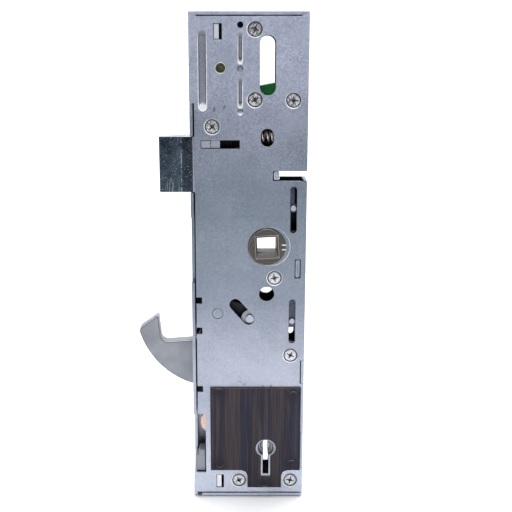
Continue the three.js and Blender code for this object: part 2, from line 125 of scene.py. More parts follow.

# %% [markdown]
# ## Finishes
# A metal finish is never one colour: zinc is mottled at about a millimetre, rolled sheet is finely scratched along
# its length, and edges are brighter, from wear and from a painted highlight. Nodes could be laid out by hand in the
# shader editor. A class whose calls each add one node is used here, so that a finish reads like a recipe. All
# patterns run on Object coordinates, which are metres here, so a pattern scale of 1000 gives features of about one
# millimetre.


# %% Patterns and sums
def tint(red, green, blue):
    """A screen colour from 0 to 255 as linear light: the usual sRGB curve, undone."""
    share = np.array([red, green, blue]) / 255
    linear = np.where(share <= 0.04045, share / 12.92, ((share + 0.055) / 1.055) ** 2.4)
    return (*(float(value) for value in linear), 1.0)


class Patterns:
    """A material's node tree, and calls that each add a node which makes or bends one value."""

    def __init__(self, name):
        self.material = bpy.data.materials.new(name)
        self.material.use_nodes = True
        self.tree = self.material.node_tree
        self.where = self.tree.nodes.new("ShaderNodeTexCoord").outputs["Object"]

    def feed(self, sockets, values):
        """Gives each input its value: a number or colour is set on it, an output is linked to it."""
        for socket, value in zip(sockets, values):
            if isinstance(value, (int, float, tuple)):
                socket.default_value = value
            else:
                self.tree.links.new(value, socket)

    def stretched(self, scale):
        """Object coordinates multiplied along X, Y and Z, which squeezes a pattern along those axes."""
        mapping = self.tree.nodes.new("ShaderNodeMapping")
        self.feed((mapping.inputs["Vector"], mapping.inputs["Scale"]), (self.where, scale))
        return mapping.outputs["Vector"]

    def noise(self, scale, detail=3.0, stretch=(1, 1, 1), roughness=0.55):
        """Cloudy noise from 0 to 1."""
        node = self.tree.nodes.new("ShaderNodeTexNoise")
        sockets = [node.inputs[name] for name in ("Scale", "Detail", "Roughness", "Vector")]
        self.feed(sockets, (scale, detail, roughness, self.stretched(stretch)))
        return node.outputs["Fac"]

    def along(self, axis):
        """One of the object coordinates, in metres."""
        node = self.tree.nodes.new("ShaderNodeSeparateXYZ")
        self.feed(node.inputs, [self.where])
        return node.outputs[axis]

    def kept(self, attribute):
        """A value from 0 to 1 that the piece keeps at each of its points."""
        node = self.tree.nodes.new("ShaderNodeAttribute")
        node.attribute_name = attribute
        return node.outputs["Fac"]

    def spread(self, value, low, high, out_low=0.0, out_high=1.0):
        """value moved from the span low..high to out_low..out_high, and held at the ends."""
        node = self.tree.nodes.new("ShaderNodeMapRange")
        sockets = [node.inputs[name] for name in ("Value", "From Min", "From Max", "To Min", "To Max")]
        self.feed(sockets, (value, float(low), float(high), out_low, out_high))
        return node.outputs["Result"]

    def math(self, operation, first, second):
        """Two values put through one operation of the Math node."""
        node = self.tree.nodes.new("ShaderNodeMath")
        node.operation = operation
        self.feed(node.inputs, (first, second))
        return node.outputs["Value"]

    def total(self, first, *others):
        """All the values added up."""
        for value in others:
            first = self.math("ADD", first, value)
        return first

    def product(self, first, *others):
        """All the values multiplied together."""
        for value in others:
            first = self.math("MULTIPLY", first, value)
        return first

    def away_from(self, value, place):
        """How far value is from place, on either side of it."""
        return self.math("ABSOLUTE", self.math("SUBTRACT", value, place), 0)


print("a mid grey of 128 is", round(tint(128, 128, 128)[0], 3), "in linear light")

# %% [markdown]
# ### From patterns to a shader
# Where a tone belongs to one place, such as a stain or the painted shade inside the tray, a mask is needed. It could
# be painted on the mesh, but these meshes have large faces with few points to paint. A distance or a box worked out
# from the coordinates has a clean edge at any mesh size. Only the rims of a piece, which do have points, keep
# attributes.


# %% A finish
class Finish(Patterns):
    """One material under construction: patterns that end in a Principled shader."""

    def __init__(self, name, metallic, **sockets):
        super().__init__(name)
        self.shader = self.tree.nodes["Principled BSDF"]
        self.shader.inputs["Metallic"].default_value = metallic
        for socket, value in sockets.items():
            self.shader.inputs[socket.replace("_", " ")].default_value = value

    def ramp(self, value, *stops):
        """A colour that runs through the given (place, colour) stops."""
        node = self.tree.nodes.new("ShaderNodeValToRGB")
        elements = node.color_ramp.elements
        while len(elements) < len(stops):
            elements.new(0.5)
        for element, (place, colour) in zip(elements, stops):
            element.position = place
            element.color = colour
        self.feed([node.inputs["Fac"]], [value])
        return node.outputs["Color"]

    def mix(self, factor, first, second, blend="MIX"):
        """Two colours mixed by a factor; the Mix node's colour sockets are its numbers 6, 7 and 2."""
        node = self.tree.nodes.new("ShaderNodeMix")
        node.data_type = "RGBA"
        node.blend_type = blend
        self.feed((node.inputs[0], node.inputs[6], node.inputs[7]), (factor, first, second))
        return node.outputs[2]

    def rubbed_edges(self, most=0.85):
        """From 0 on flat metal to most in the middle of a rounded edge, in patches: the piece's own mark for a
        painted highlight with wear.
        """
        patchy = self.spread(self.noise(420, 3), 0.3, 0.6, 0.55, 1.0)
        return self.product(self.kept("rub"), most, patchy)

    def spot(self, x, z, radius_mm):
        """From 1 at the point (x, z) of the front to 0 at radius_mm from it, whatever the depth."""
        node = self.tree.nodes.new("ShaderNodeVectorMath")
        node.operation = "DISTANCE"
        self.feed(node.inputs, (self.stretched((1, 0, 1)), (float(x), 0.0, float(z))))
        return self.spread(node.outputs["Value"], 0, radius_mm * MM, 1, 0)

    def inside_box(self, low, high, soft=0.1 * MM):
        """1 within the box low..high, 0 outside it, fading over soft metres."""
        result = 1.0
        for axis, least, most in zip("XYZ", low, high):
            place = self.along(axis)
            result = self.product(self.spread(place, least - soft, least), result)
            result = self.product(self.spread(place, most, most + soft, 1, 0), result)
        return result

    def colour(self, source):
        """Feeds the shader's base colour."""
        self.feed([self.shader.inputs["Base Color"]], [source])

    def roughness(self, source):
        """Feeds the shader's roughness."""
        self.feed([self.shader.inputs["Roughness"]], [source])

    def bump(self, source, depth_mm):
        """Raises the surface by source, at most depth_mm high."""
        node = self.tree.nodes.new("ShaderNodeBump")
        self.feed((node.inputs["Strength"], node.inputs["Distance"]), (1.0, depth_mm * MM))
        self.feed((node.inputs["Height"], self.shader.inputs["Normal"]), (source, node.outputs["Normal"]))


# The colour of painted shade with grime in recesses, creases and gaps.
SHADE_AND_DIRT = tint(30, 30, 34)
ROLLED_UP = (1.0, 1.0, 0.04)
print("a finish can make", sum(not name.startswith("_") for name in dir(Finish)), "kinds of node or value")

# %% [markdown]
# ### Zinc-plated sheet
# The case is cold-rolled sheet with bright zinc on it. A scanned texture could be wrapped round it, but it would
# smear on the narrow walls and repeat. Three sizes of cloud fit every face instead: broad patches of about 20 mm,
# blotches of 2 mm and grain of 0.3 mm. Long thin noise gives the rolling scratches.


# %% Zinc plate
def zinc_base(finish, pale, dark, grain):
    """The mottled colour of plated steel; grain, a number or a link, is how strong its fine speckle is."""
    patches, blotches = finish.noise(55, 3), finish.noise(750, 4)
    speckle = finish.noise(1500, 2, roughness=0.7)
    scratches = finish.noise(900, 2, stretch=ROLLED_UP)
    cloud = finish.total(
        finish.product(patches, 0.6), finish.product(blotches, 0.4),
        finish.product(finish.math("SUBTRACT", speckle, 0.5), 0.6, grain),
    )
    finish.roughness(finish.spread(finish.total(blotches, scratches), 0.7, 1.3, 0.32, 0.46))
    relief = (finish.product(speckle, grain), finish.product(scratches, 0.4), finish.product(blotches, 0.4))
    finish.bump(finish.total(*relief), 0.01)
    return finish.ramp(finish.spread(cloud, 0.3, 0.7), (0.0, dark), (1.0, pale))


def zinc_plate(name, pale, dark, grain=1.0, metallic=0.85):
    """Plated steel for small pieces: pale and dark are the two ends of its mottle."""
    finish = Finish(name, metallic=metallic)
    base = zinc_base(finish, pale, dark, grain)
    # Edges get a painted highlight with wear.
    base = finish.mix(finish.rubbed_edges(1.0), base, tint(255, 255, 255))
    # Recesses, creases and gaps are darkened by the kept mask: painted shade, with some grime.
    finish.colour(finish.mix(finish.kept("grime"), base, SHADE_AND_DIRT))
    return finish.material


def flecked_zinc(name, pale, dark):
    """Screw plating that the driver has chewed: hard-edged bright flecks over a darker ground."""
    finish = Finish(name, metallic=0.85)
    base = zinc_base(finish, pale, dark, 1.4)
    flecks = finish.spread(finish.noise(1150, 2, roughness=0.6), 0.5, 0.56)
    base = finish.mix(finish.product(flecks, 0.85), base, tint(248, 248, 250))
    pits = finish.spread(finish.noise(1450, 2, roughness=0.6), 0.44, 0.38)
    base = finish.mix(finish.product(pits, 0.8), base, tint(48, 48, 52))
    # Edges get a painted highlight with wear.
    base = finish.mix(finish.rubbed_edges(), base, tint(244, 246, 250))
    # Recesses, creases and gaps are darkened by the kept mask: painted shade, with some grime.
    finish.colour(finish.mix(finish.kept("grime"), base, SHADE_AND_DIRT))
    return finish.material


inner_zinc = zinc_plate("inner zinc", tint(160, 164, 174), tint(120, 125, 135))
screw_zinc = flecked_zinc("screw zinc, driven hard", tint(176, 178, 184), tint(96, 98, 104))
screw_pale = zinc_plate("screw zinc, clean", tint(222, 224, 232), tint(168, 171, 180), grain=1.6)
slider_zinc = zinc_plate("slider zinc", tint(96, 101, 113), tint(62, 67, 78))
pin_steel = zinc_plate("pin steel", tint(186, 190, 203), tint(150, 154, 168), grain=0.6)
seat_zinc = zinc_plate("countersink rim", tint(150, 154, 166), tint(118, 122, 134), grain=0.6, metallic=0.3)
print("zinc finishes for small pieces:", len(bpy.data.materials))

# %% [markdown]
# ### The case's own sheet
# The cover and tray are the same plate, but tone changes over them: painted light by height, pale at both ends and
# darker about the spindle, stains in two places, and painted shade that makes the inside black. Separate materials
# would meet in hard lines, so one material carries all of it, with masks measured on the case.

# %% Parts of the case that get painted shade or a painted highlight
INSIDE_OF_TRAY = (case_low + np.array([1.3, 0.75, 1.4]) * MM, case_high - np.array([1.4, 1.45, 1.4]) * MM)
SIDE_WINDOW = (from_case(-1, 0.75, 11.6), from_case(7.5, 15.75, 39.6))
REAR_TAB_GAP = (from_case(47.2, -0.15, 14.2), from_case(47.5, 0.75, 31.1))
TIE_TABS = [(from_case(10.2, 0.05, low), from_case(12.3, 0.45, high)) for low, high in ((200.6, 206.3), (4.6, 10.4))]
print("the dark inside is", np.round((INSIDE_OF_TRAY[1] - INSIDE_OF_TRAY[0]) / MM, 1), "mm")


# %% Case sheet
def painted_light_by_height(finish):
    """Painted light by height, from the sheet's foot to its top, with a boundary that wanders by 16 mm."""
    level = finish.total(finish.along("Z"), finish.spread(finish.noise(14, 2), 0.3, 0.7, -0.016, 0.016))
    return finish.ramp(
        finish.spread(level, -0.11, 0.095),
        (0.0, tint(228, 230, 232)), (0.1, tint(202, 204, 206)), (0.28, tint(198, 200, 202)),
        (0.42, tint(168, 173, 177)), (0.6, tint(152, 160, 163)), (0.76, tint(172, 177, 182)),
        (0.87, tint(212, 216, 222)), (1.0, tint(232, 235, 241)),
    )


def stained(finish, base):
    """Two seeded groups of five small stains; each group has its middle (x, z) and its height in millimetres."""
    scatter = np.random.default_rng(4)
    for x, z, tall in ((13.0, 57.0, 2.5), (24.0, -61.0, 0.8)):
        for _ in range(5):
            across, up = scatter.normal(0, (4.5, tall))
            dot = finish.spot((x + across) * MM, (z + up) * MM, scatter.uniform(0.4, 0.8))
            base = finish.mix(finish.product(dot, 0.9), base, tint(92, 94, 104))
    return base


def zinc_sheet(name):
    """The case's sheet: painted light by height, cooler and darker about the spindle and pale below, stains, painted
    highlights and painted shade inside the tray.
    """
    finish = Finish(name, metallic=0.85)
    by_height = finish.spread(finish.along("Z"), -0.03, 0.055, 0.5, 1.5)
    by_patch = finish.spread(finish.noise(90, 3), 0.35, 0.65, 0.4, 1.8)
    base = zinc_base(finish, tint(234, 238, 252), tint(196, 202, 218), finish.product(by_height, by_patch))
    # The base is multiplied by painted light that changes with height.
    base = stained(finish, finish.mix(1.0, base, painted_light_by_height(finish), blend="MULTIPLY"))
    # Painted shade in the narrow gap beside the rear tab.
    base = finish.mix(finish.product(finish.inside_box(*REAR_TAB_GAP), 0.85), base, tint(40, 40, 46))
    # Painted highlight on the ends of the two tie tabs.
    for tab in TIE_TABS:
        base = finish.mix(finish.product(finish.inside_box(*tab), 0.6), base, tint(255, 255, 255))
    # Edges get a painted highlight with wear.
    base = finish.mix(finish.rubbed_edges(), base, tint(236, 238, 246))
    # Painted shade inside the tray, left off the side window where light comes in.
    away_from_lit_window = finish.math("SUBTRACT", 1.0, finish.inside_box(*SIDE_WINDOW))
    shade = finish.product(finish.inside_box(*INSIDE_OF_TRAY), away_from_lit_window, 0.93)
    finish.colour(finish.mix(shade, base, tint(22, 21, 24)))
    return finish.material


case_zinc = zinc_sheet("case zinc sheet")
print("case sheet nodes:", len(case_zinc.node_tree.nodes))

# %% [markdown]
# ### Heat-tinted hardened plate
# The plate over the keyhole is hardened steel. Its oxide film is thin enough to show colours, drawn out in
# vertical streaks of plum, blue, brown and grey by the rolling of the strip. A real thin-film shader would shift
# with the angle of view; a colour ramp over stretched noise looks the same from every side and bakes well.

# %% Where the plate is welded
plate_low, plate_high = (np.array(corner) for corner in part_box("hardened_plate"))
FOOT_HEIGHT = 8.4  # the plate's narrow foot below its main field, in mm


def on_plate(across_mm, up_mm):
    """The (x, z) of a point on the plate, counted from its left and foot, or if negative from its right and top."""
    x = (plate_high if across_mm < 0 else plate_low)[0] + across_mm * MM
    z = (plate_high if up_mm < 0 else plate_low)[2] + up_mm * MM
    return float(x), float(z)


WELDS = [
    on_plate(3.8, -1.6), on_plate(-3.3, -3.2), on_plate(4.0, FOOT_HEIGHT + 3.0), on_plate(-3.8, FOOT_HEIGHT + 3.4),
    on_plate(24.0, 1.9),
]
print("spot welds on the hardened plate:", len(WELDS))


# %% Hardened plate
def heat_tint(name):
    """Oxide colours in vertical streaks, with sooty patches round the welds."""
    finish = Finish(name, metallic=0.8)
    broad = finish.noise(95, 3, stretch=(1.0, 0.2, 0.015))
    fine = finish.noise(760, 4, stretch=(1.0, 0.2, 0.012), roughness=0.75)
    streak = finish.total(finish.product(broad, 0.5), finish.product(fine, 0.5))
    base = finish.ramp(
        finish.spread(streak, 0.32, 0.68),
        (0.0, tint(34, 33, 42)), (0.2, tint(60, 54, 60)), (0.36, tint(42, 44, 62)), (0.5, tint(40, 38, 48)),
        (0.64, tint(66, 60, 61)), (0.8, tint(48, 43, 51)), (1.0, tint(82, 77, 79)),
    )
    smudge_edge = finish.spread(finish.noise(420, 3), 0.3, 0.7, 0.4, 1.1)
    for x, z in WELDS:
        soot = finish.spread(finish.product(finish.spot(x, z, 5.5), smudge_edge), 0.1, 0.6, 0.0, 0.75)
        base = finish.mix(soot, base, tint(38, 35, 40))
    # Edges get a painted highlight with wear.
    finish.colour(finish.mix(finish.rubbed_edges(0.7), base, tint(176, 140, 116)))
    finish.roughness(finish.spread(fine, 0.3, 0.7, 0.3, 0.46))
    finish.bump(finish.total(fine, finish.noise(1600, 3)), 0.012)
    return finish.material


hardened_tint = heat_tint("hardened plate heat tint")
print("hardened plate nodes:", len(hardened_tint.node_tree.nodes))

# %% [markdown]
# ### Latch
# The latch is polished dark plate with pale nicks, worn to a bright line where its head drops to the shank. Inside
# the case the same block is bare and pale, and its lug shows in the small window of the cover. One material with
# steps along X does this; cutting the block into pieces would show seams where the real one has none.

# %% Latch finish
HEAD_STEP = -3.6 * MM  # how far out of the case the head drops to the shank
BARE_FROM = 1.0 * MM  # the plating ends just inside the case
LUG_SEAM = 8.6 * MM  # the line across the lug in the cover's window
SUNK_FACE = -6.2 * MM  # behind this depth the inner part lies in shadow


def dark_polish(name):
    """Near-black plate with a cloudy sheen, pale flecks and a few long scratches."""
    finish = Finish(name, metallic=0.9)
    x = finish.along("X")
    clouds = finish.noise(260, 4)
    base = finish.ramp(finish.spread(clouds, 0.3, 0.7), (0.0, tint(42, 52, 62)), (1.0, tint(82, 94, 110)))
    shank = finish.spread(x, HEAD_STEP - 0.1 * MM, HEAD_STEP + 0.1 * MM, 0.0, 0.45)
    base = finish.mix(shank, base, tint(22, 26, 32))
    flecks = finish.spread(finish.noise(1500, 3, roughness=0.7), 0.6, 0.66)
    scratch = finish.spread(finish.noise(500, 3, stretch=(1.0, 1.0, 0.12)), 0.62, 0.68)
    wear_line = finish.spread(finish.away_from(x, HEAD_STEP), 0, 0.4 * MM, 0.9, 0)
    wear_line = finish.product(wear_line, finish.spread(finish.noise(900, 3), 0.45, 0.6))
    marks = finish.math("MAXIMUM", finish.math("MAXIMUM", flecks, finish.product(scratch, 0.5)), wear_line)
    marked = finish.mix(marks, base, tint(170, 182, 190))
    marked = finish.mix(finish.spread(x, BARE_FROM, BARE_FROM + 0.2 * MM), marked, tint(186, 190, 204))
    seam = finish.spread(finish.away_from(x, LUG_SEAM), 0.1 * MM, 0.22 * MM, 0.85, 0)
    marked = finish.mix(seam, marked, tint(70, 72, 82))
    behind = finish.spread(finish.along("Y"), SUNK_FACE, SUNK_FACE + 0.4 * MM)
    sunk = finish.product(behind, finish.spread(x, BARE_FROM, BARE_FROM + 1.0 * MM))
    marked = finish.mix(sunk, marked, tint(20, 20, 22))
    # Edges get a painted highlight with wear.
    finish.colour(finish.mix(finish.rubbed_edges(), marked, tint(226, 230, 236)))
    finish.roughness(finish.spread(clouds, 0.3, 0.7, 0.14, 0.32))
    finish.bump(clouds, 0.01)
    return finish.material


latch_dark = dark_polish("latch dark polish")
print("latch nodes:", len(latch_dark.node_tree.nodes))

# %% [markdown]
# ### Hook and follower
# The hook is blasted and plated, so it is light and dull, with painted shade along the flanks of its rolled rim and
# a painted highlight on its crest. Both are read from one attribute that runs over the rim. Inside the tray the hook
# is painted dark with shade. The follower is sintered: grey-brown, porous and ringed by the turning of its face, so
# rings about the spindle are laid under fine pores.


# %% Hook and follower finishes
def blasted_steel(name, shaded_inside):
    """Evenly pitted light grey plate with a painted highlight on its edges; shaded_inside is how strong the painted
    shade on it is inside the tray.
    """
    finish = Finish(name, metallic=0.75)
    patches, pits = finish.noise(110, 3), finish.noise(2600, 3)
    mixed = finish.total(finish.product(patches, 0.7), finish.product(pits, 0.3))
    base = finish.ramp(finish.spread(mixed, 0.35, 0.65), (0.0, tint(134, 138, 145)), (1.0, tint(156, 160, 167)))
    rub = finish.kept("rub")
    # Painted shade along the flanks of each rounded edge, and a painted highlight on its crest.
    outline = finish.product(finish.spread(rub, 0.0, 0.1), finish.spread(rub, 0.85, 0.6), 0.95)
    base = finish.mix(outline, base, tint(58, 60, 66))
    base = finish.mix(finish.spread(rub, 0.65, 0.95), base, tint(250, 250, 252))
    # Painted shade on the part that lies inside the tray.
    tray_shade = finish.product(finish.inside_box(*INSIDE_OF_TRAY), shaded_inside)
    finish.colour(finish.mix(tray_shade, base, tint(24, 22, 22)))
    finish.roughness(finish.spread(pits, 0.3, 0.7, 0.42, 0.6))
    finish.bump(pits, 0.015)
    return finish.material


def sintered_steel(name, centre):
    """Porous dark steel, with faint rings about the point centre."""
    finish = Finish(name, metallic=0.75)
    centred = finish.tree.nodes.new("ShaderNodeMapping")
    shift = tuple(-float(value) for value in centre)
    finish.feed((centred.inputs["Vector"], centred.inputs["Location"]), (finish.where, shift))
    rings = finish.tree.nodes.new("ShaderNodeTexWave")
    rings.wave_type, rings.rings_direction = "RINGS", "Y"
    sockets = [rings.inputs[name] for name in ("Scale", "Distortion", "Vector")]
    finish.feed(sockets, (260, 1.5, centred.outputs["Vector"]))
    pores = finish.noise(2100, 4, roughness=0.7)
    blend = finish.total(finish.product(pores, 0.9), finish.product(rings.outputs["Fac"], 0.1))
    base = finish.ramp(finish.spread(blend, 0.3, 0.75), (0.0, tint(66, 63, 60)), (1.0, tint(104, 100, 96)))
    # Edges get a painted highlight with wear.
    finish.colour(finish.mix(finish.rubbed_edges(), base, tint(214, 210, 204)))
    finish.roughness(finish.spread(pores, 0.3, 0.7, 0.38, 0.58))
    finish.bump(blend, 0.02)
    return finish.material


hook_grey = blasted_steel("hook blasted plate", 0.9)
follower_sinter = sintered_steel("follower sinter", spindle)
spacer_cast = blasted_steel("spacer casting", 0.0)
print("follower rings are centred on", np.round(spindle / MM, 1), "mm")

# %% [markdown]
# ### Brass, wire, plastic and the key's curtain
# The levers are stamped brass, their springs bronze leaf, and the coils coppered wire: warm metals that differ in
# tone and grain only, so one function makes all three. The curtain is faced on a lathe, and its two grooves are
# too fine to need geometry. The insert is nylon, which has no metal in it and a low, even sheen.


# %% Brass, wire and plastic finishes
def warm_metal(name, pale, dark, scale, stretch=(1, 1, 1), roughness=(0.22, 0.42)):
    """Brass or coppered wire: stamped or drawn grain in two tones, dulled in patches."""
    finish = Finish(name, metallic=0.95)
    grain, patches = finish.noise(scale, 4, stretch=stretch), finish.noise(180, 3)
    both = finish.total(finish.product(grain, 0.6), finish.product(patches, 0.4))
    base = finish.ramp(finish.spread(both, 0.34, 0.66), (0.0, dark), (1.0, pale))
    # Edges get a painted highlight with wear.
    finish.colour(finish.mix(finish.rubbed_edges(), base, pale))
    finish.roughness(finish.spread(both, 0.3, 0.7, *roughness))
    finish.bump(grain, 0.008)
    return finish.material


def turned_rings(name, centre, radii_mm, reach=10.0):
    """Nickelled brass faced on a lathe, with a dark groove at each radius about the key's axis."""
    finish = Finish(name, metallic=0.8)
    base = zinc_base(finish, tint(178, 181, 188), tint(138, 140, 148), 1.2)
    nearness = finish.spot(centre[0], centre[2], reach)
    for radius in radii_mm:
        groove = finish.spread(finish.away_from(nearness, 1 - radius / reach), 0.2 / reach, 0.32 / reach, 0.85, 0)
        base = finish.mix(groove, base, tint(40, 41, 46))
    # Edges get a painted highlight with wear.
    finish.colour(finish.mix(finish.rubbed_edges(), base, tint(240, 242, 246)))
    return finish.material


def moulded_plastic(name, pale, dark):
    """Dyed nylon: an even colour with a fine moulded grain."""
    finish = Finish(name, metallic=0.0, Specular_IOR_Level=0.2)
    grain, patches = finish.noise(1900, 3), finish.noise(150, 2)
    finish.colour(finish.ramp(finish.spread(finish.total(grain, patches), 0.7, 1.3), (0.0, dark), (1.0, pale)))
    finish.roughness(finish.spread(grain, 0.3, 0.7, 0.35, 0.5))
    finish.bump(grain, 0.02)
    return finish.material


ALONG_X = (0.2, 1, 1)
lever_brass = warm_metal("lever brass", tint(226, 200, 186), tint(188, 160, 142), 700, stretch=ALONG_X)
curtain_nickel = turned_rings("curtain nickel", middle("key_curtain"), (2.2, 3.3))
copper_pale, copper_dark = tint(255, 244, 238), tint(226, 200, 190)
spring_wire = warm_metal("coppered spring wire", copper_pale, copper_dark, 1500, roughness=(0.3, 0.5))
leaf_bronze = warm_metal("bronze leaf", tint(232, 180, 160), tint(190, 130, 112), 900, stretch=ALONG_X)
insert_green = moulded_plastic("green nylon", tint(10, 100, 36), tint(4, 62, 20))
print("materials:", len(bpy.data.materials))

# %% [markdown]
# ## Pressed and turned pieces
# No real edge is perfectly sharp: shears roll it, plating rounds it. A bevel shader could fake that, but it would
# not be in the mesh. So each frame node is copied, its loose triangles are welded, flat areas are joined
# to single faces, and a small bevel is put on every edge that turns by more than 30 degrees. That rim is what
# catches the light, and its middle line is kept as an attribute that the finish paints bright: a painted highlight
# with wear.


# %% Copy a node as one connected mesh
def welded(node, name):
    """A mesh with the node's shape: corners closer than a micron become one, triangles share them."""
    source = nodes[node].data
    corners = np.empty(len(source.vertices) * 3)
    source.vertices.foreach_get("co", corners)
    loops = np.empty(len(source.loops), dtype=np.int64)
    source.loops.foreach_get("vertex_index", loops)
    cells = np.round(corners.reshape(-1, 3) / (0.001 * MM)).astype(np.int64)
    _, first, shared = np.unique(cells, axis=0, return_index=True, return_inverse=True)
    triangles = shared.reshape(-1)[loops].reshape(-1, 3)
    real = (triangles != np.roll(triangles, 1, axis=1)).all(axis=1)
    mesh = bpy.data.meshes.new(name)
    mesh.from_pydata(corners.reshape(-1, 3)[first], [], triangles[real].tolist())
    return mesh


def place(mesh, name, material, body):
    """Puts a finished mesh in the scene, gives it its finish and lets it ride on its body."""
    mesh.materials.clear()
    mesh.materials.append(material)
    piece = bpy.data.objects.new(name, mesh)
    bpy.context.scene.collection.objects.link(piece)
    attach(piece, body)
    return piece


def stands_for(piece, node):
    """Hides the node, so that the piece shows in its stead."""
    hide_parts(node)


# %% Soften its edges
def flattened(mesh):
    """Joins triangles that lie in one plane, to within a degree, so that a bevel has clean edges to follow."""
    shape = bmesh.new()
    shape.from_mesh(mesh)
    bmesh.ops.dissolve_limit(shape, angle_limit=math.radians(1), verts=shape.verts, edges=shape.edges)
    shape.to_mesh(mesh)
    shape.free()


def mark_rub(mesh):
    """Sets the mark for a painted highlight with wear to 1 on the middle line of each rounded edge: the corners that
    touch only bevel faces.
    """
    in_bevel = np.empty(len(mesh.polygons), dtype=np.int32)
    mesh.polygons.foreach_get("material_index", in_bevel)
    corners = np.empty(len(mesh.loops), dtype=np.int32)
    mesh.loops.foreach_get("vertex_index", corners)
    sizes = np.empty(len(mesh.polygons), dtype=np.int32)
    mesh.polygons.foreach_get("loop_total", sizes)
    rub = np.ones(len(mesh.vertices), dtype=np.float32)
    np.minimum.at(rub, corners, np.repeat(in_bevel, sizes).astype(np.float32))
    mesh.attributes.new("rub", "FLOAT", "POINT").data.foreach_set("value", rub)
    mesh.polygons.foreach_set("material_index", np.zeros(len(mesh.polygons), dtype=np.int32))


def softened(node, material, width_mm, held_back=True, segments=2):
    """The node's shape with its sharp edges bevelled by width_mm, held back where corners are close together."""
    mesh = welded(node, node + "_shape")
    flattened(mesh)
    piece = place(mesh, node + "_finished", material, nodes[node]["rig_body"])
    bevel = piece.modifiers.new("edge", "BEVEL")
    bevel.width = width_mm * MM
    bevel.segments = segments
    bevel.limit_method = "ANGLE"
    bevel.angle_limit = math.radians(30)
    bevel.use_clamp_overlap = held_back
    bevel.material = 1
    mesh.materials.append(material)
    flat = piece.modifiers.new("flat faces stay flat", "WEIGHTED_NORMAL")
    flat.weight = 100
    flat.keep_sharp = True
    mesh.shade_smooth()
    mesh.set_sharp_from_angle(angle=math.radians(75))
    graph = bpy.context.evaluated_depsgraph_get()
    done = bpy.data.meshes.new_from_object(piece.evaluated_get(graph), depsgraph=graph)
    piece.modifiers.clear()
    piece.data = done
    mark_rub(done)
    done.materials.pop(index=1)
    stands_for(piece, node)
    return piece


# %% Every pressed, turned and moulded piece, with its finish and how many mm its edges are rounded by
pressings = {
    "back_case": (case_zinc, 0.12), "front_cover": (case_zinc, 0.1), "hardened_plate": (hardened_tint, 0.1),
    "hook_pivot_pin": (case_zinc, 0.12), "fixing_slot_insert": (insert_green, 0.4),
    "slider_guide_pad": (case_zinc, 0.45), "latch_spring_seat": (inner_zinc, 0.15),
    "latch_lever_pin": (pin_steel, 0.15), "lever_pivot_pin": (pin_steel, 0.15),
    "slide_guide_post": (pin_steel, 0.15), "slider_spring_stop": (inner_zinc, 0.15),
    "lever_pack_spacer": (spacer_cast, 0.2), "latch_bolt": (latch_dark, 0.35), "latch_lever": (inner_zinc, 0.12),
    "follower_front": (follower_sinter, 0.3), "follower_rear": (follower_sinter, 0.15),
    "drive_slider": (slider_zinc, 0.12), "slider_pin_upper": (pin_steel, 0.2), "slider_pin_lower": (pin_steel, 0.2),
    "hook_link": (inner_zinc, 0.15), "hook_link_pin": (pin_steel, 0.25), "hook_bolt": (hook_grey, 0.5),
    "key_curtain": (curtain_nickel, 0.2), "deadlock_slide": (inner_zinc, 0.12), "deadlock_stump": (pin_steel, 0.2),
}
for number in range(1, 9):
    pressings[f"case_pillar_{number}"] = (pin_steel, 0.15)
for number in range(1, 6):
    pressings[f"lever_{number}"] = (lever_brass, 0.12)
    pressings[f"lever_spring_{number}"] = (leaf_bronze, 0.05)
for node, (finish, width) in pressings.items():
    softened(node, finish, width, held_back=node != "hook_bolt")
print("softened", len(pressings), "pieces")

# %% [markdown]
# ## Surfaces from rings
# Screws, rivets, rims and pressed grooves could be cut and joined from solids, but booleans leave long thin faces
# that shade badly. Here they are rings of points joined into a skin. A ring is a circle about an axis, or a
# capsule about a short line. Each ring has a distance from its line and a depth, and together these two lists are
# the profile of the piece. The skin ends in a point at both ends, or closes on itself.


# %% Skins over rings
def skin(rings, name, loop=False):
    """A closed mesh over rings of points; with loop the last ring meets the first, else both ends get a lid."""
    count, spokes = rings.shape[:2]
    steps = count if loop else count - 1
    ring, spoke = np.meshgrid(np.arange(steps), np.arange(spokes), indexing="ij")
    after, beyond = (spoke + 1) % spokes, (ring + 1) % count
    near, far = ring * spokes, beyond * spokes
    quads = np.stack([near + spoke, near + after, far + after, far + spoke], -1)
    points, faces = rings.reshape(-1, 3), quads.reshape(-1, 4).tolist()
    if not loop:
        around = np.arange(spokes)
        following = np.roll(around, -1)
        first_tip, last_tip = np.full((2, spokes), [[count * spokes], [count * spokes + 1]])
        last = (count - 1) * spokes
        points = np.concatenate([points, [rings[0].mean(axis=0), rings[-1].mean(axis=0)]])
        faces += np.stack([first_tip, following, around], -1).tolist()
        faces += np.stack([last_tip, last + around, last + following], -1).tolist()
    mesh = bpy.data.meshes.new(name)
    mesh.from_pydata(points, [], faces)
    shape = bmesh.new()
    shape.from_mesh(mesh)
    if shape.calc_volume(signed=True) < 0:
        bmesh.ops.reverse_faces(shape, faces=shape.faces)
    shape.to_mesh(mesh)
    shape.free()
    mesh.shade_smooth()
    mesh.set_sharp_from_angle(angle=math.radians(40))
    return mesh


def keep(mesh, attribute, values, spokes):
    """Keeps a value on the piece ring by ring, or ring by ring and spoke by spoke; lids keep 0."""
    values = np.asarray(values, dtype=np.float32)
    values = np.broadcast_to(values[:, None] if values.ndim == 1 else values, (len(values), spokes))
    stored = np.zeros(len(mesh.vertices), dtype=np.float32)
    stored[:values.size] = values.reshape(-1)
    mesh.attributes.new(attribute, "FLOAT", "POINT").data.foreach_set("value", stored)


def full_turn(count):
    """Evenly spaced angles over one turn, in radians."""
    return np.arange(count) * 2 * np.pi / count


